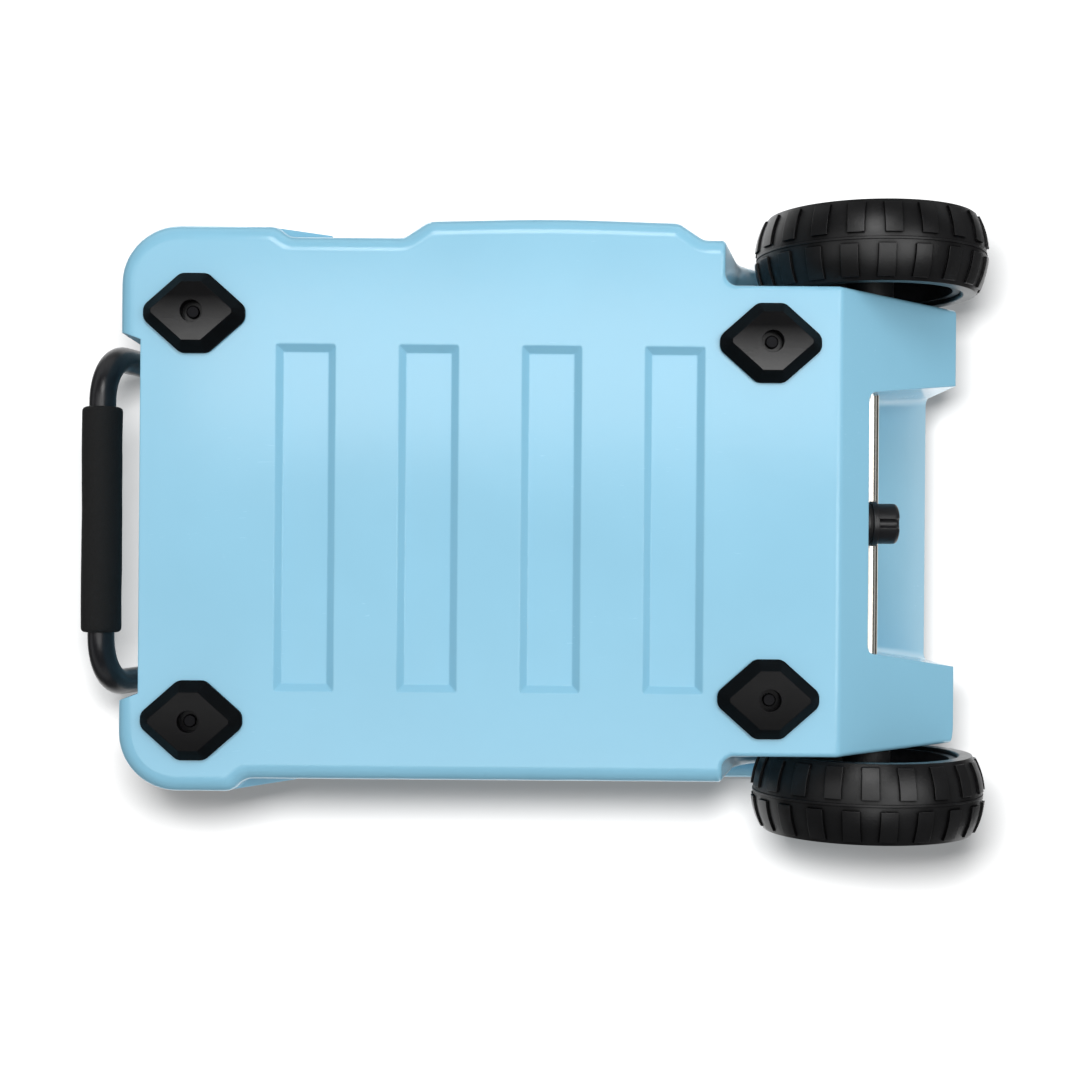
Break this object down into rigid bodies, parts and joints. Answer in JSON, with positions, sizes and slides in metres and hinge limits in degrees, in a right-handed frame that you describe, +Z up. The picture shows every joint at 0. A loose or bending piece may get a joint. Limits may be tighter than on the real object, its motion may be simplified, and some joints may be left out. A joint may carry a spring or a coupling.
{
  "type": "wheeled cooler",
  "caption": "Insulated hard cooler on wheels with a hinged lid, rubber latches, drain plug, diamond rubber feet and a swinging tow handle with a foam grip.",
  "frame": {"origin": "on the floor, under the middle of the overall box", "axes": "+X from the tow handle to the wheels, +Y from the latches to the hinge, +Z up"},
  "size_m": [0.7058, 0.471, 0.46],
  "materials": {
    "body_plastic": "glossy rotomoulded polyethylene, sky blue",
    "lid_plastic": "glossy rotomoulded polyethylene, sky blue",
    "liner_plastic": "white food-safe plastic, satin",
    "foam": "closed-cell insulating foam",
    "gasket": "soft black seal",
    "foot_rubber": "black rubber, satin",
    "tyre": "black moulded tread",
    "hub_plastic": "black moulded plastic",
    "axle_steel": "bright plain steel",
    "fixing_steel": "zinc-plated steel",
    "cap_plastic": "black push-on cap",
    "handle_steel": "gloss black painted tube",
    "grip_foam": "black foam sleeve, matte",
    "bracket_plastic": "black moulded plastic",
    "latch_rubber": "black moulded rubber",
    "drain_plastic": "black moulded plastic"
  },
  "bodies": {
    "body": {"body_shell": "body_plastic", "body_liner": "liner_plastic", "body_foam": "foam", "foot_front_left": "foot_rubber", "foot_back_left": "foot_rubber", "foot_front_right": "foot_rubber", "foot_back_right": "foot_rubber", "foot_screws": "fixing_steel", "handle_bracket_front": "bracket_plastic", "handle_bracket_back": "bracket_plastic", "bracket_screws": "fixing_steel", "handle_bolts": "fixing_steel", "latch_mount_left": "bracket_plastic", "latch_mount_right": "bracket_plastic", "latch_pins": "fixing_steel", "latch_screws": "fixing_steel", "hinge_pins": "fixing_steel", "axle": "axle_steel", "axle_washers": "fixing_steel", "axle_caps": "cap_plastic", "drain_sleeve": "drain_plastic"},
    "lid": {"lid_shell": "lid_plastic", "lid_foam": "foam", "lid_gasket": "gasket"},
    "tow_handle": {"tow_handle_tube": "handle_steel", "tow_handle_grip": "grip_foam"},
    "wheel_front": {"tyre_front": "tyre", "hub_front": "hub_plastic"},
    "wheel_back": {"tyre_back": "tyre", "hub_back": "hub_plastic"},
    "latch_left": {"latch_left": "latch_rubber"},
    "latch_right": {"latch_right": "latch_rubber"},
    "drain_seal": {"drain_seal": "gasket"},
    "drain_plug": {"drain_plug": "drain_plastic"}
  },
  "joints": [
    {"name": "lid_hinge", "type": "hinge", "parent": "body", "child": "lid", "pos_m": [0.01945, 0.2257, 0.3965], "axis": [-1, 0, 0], "range_deg": [0, 100]},
    {"name": "tow_handle_swing", "type": "hinge", "parent": "body", "child": "tow_handle", "pos_m": [-0.3041, 0, 0.2684], "axis": [0, 1, 0], "range_deg": [0, 135]},
    {"name": "wheel_front_spin", "type": "hinge", "parent": "body", "child": "wheel_front", "pos_m": [0.264, -0.20575, 0.092], "axis": [0, 1, 0], "continuous": true},
    {"name": "wheel_back_spin", "type": "hinge", "parent": "body", "child": "wheel_back", "pos_m": [0.264, 0.20575, 0.092], "axis": [0, 1, 0], "continuous": true},
    {"name": "latch_left_swing", "type": "hinge", "parent": "body", "child": "latch_left", "pos_m": [-0.1236, -0.22, 0.3], "axis": [1, 0, 0], "range_deg": [-3.5, 110]},
    {"name": "latch_right_swing", "type": "hinge", "parent": "body", "child": "latch_right", "pos_m": [0.1605, -0.22, 0.3], "axis": [1, 0, 0], "range_deg": [-3.5, 110]},
    {"name": "drain_plug_travel", "type": "slide", "parent": "body", "child": "drain_seal", "axis": [1, 0, 0], "range_m": [0, 0.008]},
    {"name": "drain_plug_turn", "type": "hinge", "parent": "drain_seal", "child": "drain_plug", "pos_m": [0.254, 0, 0.062], "axis": [1, 0, 0], "range_deg": [0, 720]}
  ],
  "couplings": [
    {"joint": "drain_plug_travel", "follows": "drain_plug_turn", "m_per_rad": 0.00063662}
  ]
}
